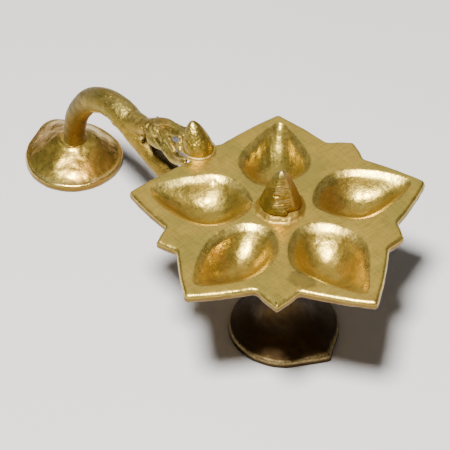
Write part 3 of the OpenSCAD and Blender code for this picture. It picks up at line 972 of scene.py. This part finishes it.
def rear_foot():
    r = 24.1
    outer = [(r - 3.9, 0.0), (r - 0.7, 0.05), (r - 0.05, 0.6), (r + 0.1, 2.0), (r - 0.1, 3.0),
             (r - 0.7, 3.7), (r - 2.0, 4.1), (20, 5.2), (17, 7.2), (14, 9.0), (11, 10.6),
             (8.6, 11.8), (7.0, 12.6),
             (5.8, NECK_Z + 0.2), (0, NECK_Z + 0.2)]
    inner = [(0, 8.6), (4, 8.4), (8, 7.0), (12, 5.2), (16, 3.2), (19.5, 0.9), (r - 3.9, 0.0)]
    obj = new_object("back_foot", *lathe(smooth_profile(inner, 3)[:-1] + smooth_profile(outer), 176,
                                         REAR_FOOT_AT))

    def toward(angle, centre, width):
        gap = (angle - centre + 180) % 360 - 180
        return bell(gap, width)

    def hammered(p, n):
        rel = p.xy - REAR_FOOT_AT
        d = rel.length
        if d < 0.01:
            return p
        angle = bearing(rel)
        rim = ramp(d, 8, 24)
        # A lump at the back, a flatter side beyond the handle, and a slightly wider front
        corner = toward(angle, 170, 21)
        d += rim * (3.0 * corner - 1.4 * toward(angle, 95, 45) + 1.7 * toward(angle, -42, 55)
                    - 0.5 * toward(angle, -135, 35))
        d += lumps(p, (0.30, 8, 71), (0.12, 2.8, 72)) * ramp(d, 2, 7)
        outside, off_floor = ramp(n.z, -0.2, 0.3), ramp(p.z, 1, 3)
        rise = lumps(p, (0.40, 6.5, 73), (0.16, 2.6, 74)) * ramp(p.z, 2, 5)
        rise *= fade(p.z, 11.5, 13.2)
        rise += (1.1 * corner * rim * outside * off_floor
                 - 0.8 * toward(angle, 80, 50) * rim * off_floor)
        # Groove filed round the front of the neck
        rise -= 0.5 * bell(rel.length - 6.9, 0.5) * toward(angle, -70, 40) * outside
        rise += 0.35 * bell(rel.length - 7.9, 0.6) * toward(angle, -40, 30) * outside
        q = REAR_FOOT_AT + rel.normalized() * d
        return Vector((q.x, q.y, max(p.z + rise, 0.0)))

    shape(obj, hammered)

    def side_of(p, angle):
        rel = p.xy - REAR_FOOT_AT
        return rel.normalized().dot(turn(angle)) if rel.length > 0.1 else 0.0

    def oxide_and_shade(p, n):
        # Painted shade on the rim's side wall and on the side turned away from the key light, about -45
        # degrees, plus a darker patch near the handle
        if p.z < 3 and n.z < 0.3:
            return 1.0
        return 0.2 + 0.5 * ramp(-side_of(p, -45), -0.6, 0.6) + 0.6 * near(p, (-128, 8), 6)

    # Painted highlight on the side facing about -52 degrees, toward the key light, and painted shade on the
    # rim's side wall through the stain layer
    coat(obj, wear_and_sheen=lambda p, n: max(0.8 * ramp((p.xy - REAR_FOOT_AT).length, 22.6, 23.6)
                 * ramp(p.z, 2.6, 3.4) * ramp(n.z, 0.2, 0.6),
                 0.15 * ramp(side_of(p, -52), 0.75, 1.0) * ramp(n.z, 0.3, 0.7)),
         patina_and_shade=oxide_and_shade,
         copper=lambda p, n: (0.9 * ramp(side_of(p, 10), 0.3, 0.9) * fade(p.z, 8, 13)
                 + 0.7 * ramp(side_of(p, 200), 0.6, 0.95)),
         stain_and_shade=lambda p, n: fade(p.z, 2.6, 3.6) * fade(n.z, 0.1, 0.5))
    install(obj, "foot_brass", "rear_foot")


# ---- Materials ----


class Nodes:
    """Short calls for building a node tree."""

    def __init__(self, material):
        material.use_nodes = True
        self.tree = material.node_tree
        self.tree.nodes.clear()
        self.place = self.add("ShaderNodeTexCoord").outputs["Object"]

    def add(self, kind, inputs=None, **settings):
        node = self.tree.nodes.new(kind)
        for key, value in settings.items():
            setattr(node, key, value)
        for name, value in (inputs or {}).items():
            self.feed(node.inputs[name], value)
        return node

    def feed(self, socket, value):
        if isinstance(value, bpy.types.NodeSocket):
            self.tree.links.new(value, socket)
        else:
            socket.default_value = value

    def noise(self, size, detail=3.0, stretch=(1, 1, 1), turned=(0, 0, 0), distortion=0.0):
        """Noise with lumps of about this size in millimetres, from 0 to 1."""
        mapping = self.add("ShaderNodeMapping", {
            "Vector": self.place, "Scale": stretch, "Rotation": [radians(a) for a in turned]})
        return self.add("ShaderNodeTexNoise", {
            "Vector": mapping.outputs["Vector"], "Scale": 1 / (size * MM), "Detail": detail,
            "Distortion": distortion}).outputs["Fac"]

    def span(self, value, start, end, low_out=0.0, high_out=1.0):
        """A smooth ramp from one output to another, as the value goes from start to end."""
        return self.add("ShaderNodeMapRange", {
            "Value": value, "From Min": start, "From Max": end, "To Min": low_out,
            "To Max": high_out}, clamp=True, interpolation_type="SMOOTHSTEP").outputs["Result"]

    def math(self, operation, a, b):
        return self.add("ShaderNodeMath", {0: a, 1: b}, operation=operation).outputs[0]

    def mix(self, factor, a, b):
        node = self.add("ShaderNodeMix", {"Factor": factor}, data_type="RGBA")
        for name, value in (("A", a), ("B", b)):
            socket = next(s for s in node.inputs if s.name == name and s.type == "RGBA")
            self.feed(socket, (*value, 1) if isinstance(value, tuple) else value)
        return next(s for s in node.outputs if s.type == "RGBA")

    def layer(self, name):
        return self.add("ShaderNodeAttribute", attribute_name=name).outputs["Fac"]

    def bump(self, height, distance, under=None):
        inputs = {"Strength": 1.0, "Distance": distance * MM, "Height": height}
        if under is not None:
            inputs["Normal"] = under
        return self.add("ShaderNodeBump", inputs).outputs["Normal"]

    def finish(self, **inputs):
        shader = self.add("ShaderNodeBsdfPrincipled",
                          {name.replace("_", " "): value for name, value in inputs.items()})
        out = self.add("ShaderNodeOutputMaterial")
        self.tree.links.new(shader.outputs["BSDF"], out.inputs["Surface"])


METALLIC = 0.94
SCRATCH_DEPTH = 0.035


def brass(name, body, rough, contrast=1.0, pits=0.0, bright=(0.92, 0.73, 0.28),
          dark=(0.36, 0.22, 0.04), red=(0.66, 0.29, 0.05), olive=(0.58, 0.45, 0.09),
          stain_and_shade=(0.30, 0.22, 0.11), cover=0.6):
    """Worn brass. The painted layers choose where it is bright (wear and painted highlights), dark (patina
    and painted shade), copper-red, or stained (stains and painted shade). Pits are a depth in millimetres,
    and cover is how much the stain and painted shade hide."""
    material = bpy.data.materials.new(name)
    n = Nodes(material)
    cloud = n.noise(16, 4)
    patch = n.noise(5, 4, distortion=0.4)
    fine = n.noise(1.1, 4)
    colour = n.mix(n.span(cloud, 0.40, 0.62, 0.0, 0.5 * contrast), body, olive)
    # Patina layer: oxide, and painted shade on sides turned away from the light
    patina_and_shade = n.math("MULTIPLY", n.layer("patina_and_shade"), n.span(patch, 0.3, 0.7, 0.25, 0.75))
    colour = n.mix(patina_and_shade, colour, dark)
    copper = n.math("MULTIPLY", n.layer("copper"), n.span(patch, 0.32, 0.62, 0.45, 0.9))
    colour = n.mix(copper, colour, red)
    # Stain layer: stains, and painted shade in the gap under the hood, on undersides and on side faces
    colour = n.mix(n.math("MULTIPLY", n.layer("stain_and_shade"), cover), colour, stain_and_shade)
    # Wear layer: rubbed brass, and painted highlights on sides turned toward the key light
    wear_and_sheen = n.math("MULTIPLY", n.layer("wear_and_sheen"), n.span(fine, 0.3, 0.7, 0.25, 0.75))
    colour = n.mix(wear_and_sheen, colour, bright)
    brushed = n.noise(0.45, 2, stretch=(0.06, 1, 1), turned=(0, 0, 28))
    crossed = n.noise(0.55, 2, stretch=(1, 0.09, 1), turned=(0, 0, -17))
    scratch = n.math("ADD", brushed, crossed)
    colour = n.mix(n.span(scratch, 0.85, 1.3, 0.0, 0.22 * contrast), colour, dark)
    colour = n.mix(n.span(fine, 0.62, 0.78, 0.0, 0.25 * contrast), colour, dark)
    roughness = n.math("ADD", n.span(patch, 0.3, 0.7, rough - 0.05, rough + 0.07),
                       n.span(fine, 0.3, 0.7, -0.04, 0.04))
    normal = n.bump(scratch, SCRATCH_DEPTH)
    normal = n.bump(n.noise(2.4, 4), 0.2, under=normal)
    if pits:
        normal = n.bump(n.span(n.noise(1.3, 3), 0.28, 0.5), pits, under=normal)
    n.finish(Base_Color=colour, Metallic=METALLIC, Roughness=roughness, Normal=normal)
    return material


def solder_gray():
    material = bpy.data.materials.new("soft_solder")
    n = Nodes(material)
    patch = n.noise(1.2, 4)
    colour = n.mix(n.span(patch, 0.35, 0.65), (0.10, 0.09, 0.11), (0.24, 0.23, 0.24))
    n.finish(Base_Color=colour, Metallic=0.6, Roughness=n.span(patch, 0.3, 0.7, 0.6, 0.8),
             Normal=n.bump(n.noise(0.6, 3), 0.06))
    return material


def floor_paper():
    material = bpy.data.materials.new("pale_floor")
    n = Nodes(material)
    cloud = n.noise(160, 3)
    colour = n.mix(cloud, (0.86, 0.84, 0.83), (0.90, 0.885, 0.875))
    n.finish(Base_Color=colour, Roughness=0.9)
    return material


BRASSES = {
    "plate_brass": dict(
        body=(0.78, 0.54, 0.10), rough=0.33, contrast=1.5, dark=(0.23, 0.16, 0.03),
        red=(0.62, 0.33, 0.07), stain_and_shade=(0.10, 0.045, 0.018), cover=0.8),
    "bright_brass": dict(body=(0.56, 0.38, 0.07), rough=0.48),
    "finial_brass": dict(
        body=(0.48, 0.33, 0.05), rough=0.40, contrast=1.6, pits=0.06,
        dark=(0.13, 0.085, 0.01), red=(0.42, 0.19, 0.03), olive=(0.38, 0.30, 0.04)),
    # The stain colour is near-black for the painted shade in the gap under the hood and on the hood's
    # undersides
    "handle_brass": dict(
        body=(0.40, 0.27, 0.04), rough=0.46, contrast=1.6, pits=0.14,
        dark=(0.13, 0.075, 0.008), red=(0.36, 0.15, 0.015), olive=(0.28, 0.22, 0.025),
        stain_and_shade=(0.012, 0.007, 0.003), cover=0.97),
    "foot_brass": dict(
        body=(0.74, 0.49, 0.08), rough=0.31, contrast=1.4, dark=(0.34, 0.20, 0.03),
        red=(0.66, 0.32, 0.05), stain_and_shade=(0.12, 0.07, 0.015), cover=0.85),
    # Near-black body: painted shade for the pedestal in the plate's shadow
    "dark_brass": dict(
        body=(0.065, 0.037, 0.011), rough=0.45, contrast=0.6, bright=(0.70, 0.52, 0.22),
        dark=(0.05, 0.028, 0.012), olive=(0.12, 0.08, 0.03)),
    "rivet_brass": dict(body=(0.34, 0.23, 0.04), rough=0.5),
}


def clothe():
    """Gives every piece and every kept CAD node its material."""
    by_slot = {name: brass(name, **look) for name, look in BRASSES.items()}
    by_slot["solder"] = solder_gray()
    slots = {part["node"]: part["material_slot"] for part in frame["record"]["subparts"]}
    for name, node in frame["nodes"].items():
        node.data.materials.clear()
        node.data.materials.append(by_slot[slots[name]])
    for obj, slot in installed:
        obj.data.materials.append(by_slot[slot])


# ---- Floor, light and camera ----


FLOOR_REACH = 3000
CARD_WHITE = (1, 0.99, 0.97)
CAMERA_AIM = Vector((-9.0, -23.4, PLATE_TOP)) * MM
CAMERA_ANGLES = (49.87, 42.87)    # azimuth and elevation in degrees
CAMERA_DISTANCE_M = 0.7445


def stage():
    corners = ((-1, -1), (1, -1), (1, 1), (-1, 1))
    points = [(x * FLOOR_REACH, y * FLOOR_REACH, FLOOR_Z) for x, y in corners]
    floor = new_object("floor", points, [[0, 1, 2, 3]], clean=False)
    floor.data.materials.append(floor_paper())


def aimed(name, data, aim, way, distance):
    """A lamp or camera at a distance from a place, in a direction, that looks at the place."""
    obj = bpy.data.objects.new(name, data)
    obj.location = aim + way * distance
    obj.rotation_mode = "QUATERNION"
    obj.rotation_quaternion = (-way).to_track_quat("-Z", "Y")
    bpy.context.scene.collection.objects.link(obj)
    return obj


def lamp(name, direction, distance, size, watts):
    """A round soft box that looks at the plate from a direction. Distance and size are metres."""
    data = bpy.data.lights.new(name, "AREA")
    data.shape = "DISK"
    data.size = size
    data.energy = watts
    data.color = CARD_WHITE
    return aimed(name, data, Vector((0, 0, PLATE_TOP * MM)), Vector(direction).normalized(), distance)


def lights():
    lamp("key", (14.5, -25, 69.6), 1.5, 0.31, 58)
    # Cards that only show as reflections in the brass
    for card in (lamp("back_card", (-0.56, 0.47, 0.62), 1.3, 1.5, 3.2),
                 lamp("front_card", (0.70, -0.58, 0.42), 1.3, 1.0, 0.5)):
        card.visible_diffuse = False
    world = bpy.data.worlds.new("room")
    world.use_nodes = True
    background = world.node_tree.nodes["Background"]
    background.inputs["Color"].default_value = (0.98, 0.99, 1.0, 1)
    background.inputs["Strength"].default_value = 0.08
    bpy.context.scene.world = world


def camera():
    data = bpy.data.cameras.new("camera")
    data.sensor_width = 36
    data.lens = 144
    data.clip_start, data.clip_end = 0.05, 20
    around, up = (radians(a) for a in CAMERA_ANGLES)
    back = Vector((sin(around) * cos(up), -cos(around) * cos(up), sin(up)))
    bpy.context.scene.camera = aimed("camera", data, CAMERA_AIM, back, CAMERA_DISTANCE_M)


star_plate()
center_collar()
center_finial()
rear_collar()
rear_finial()
pedestal()
handle_arm()
serpent_hood()
hood_rivet()
hood_solder()
rear_foot()
clothe()
stage()
lights()
camera()
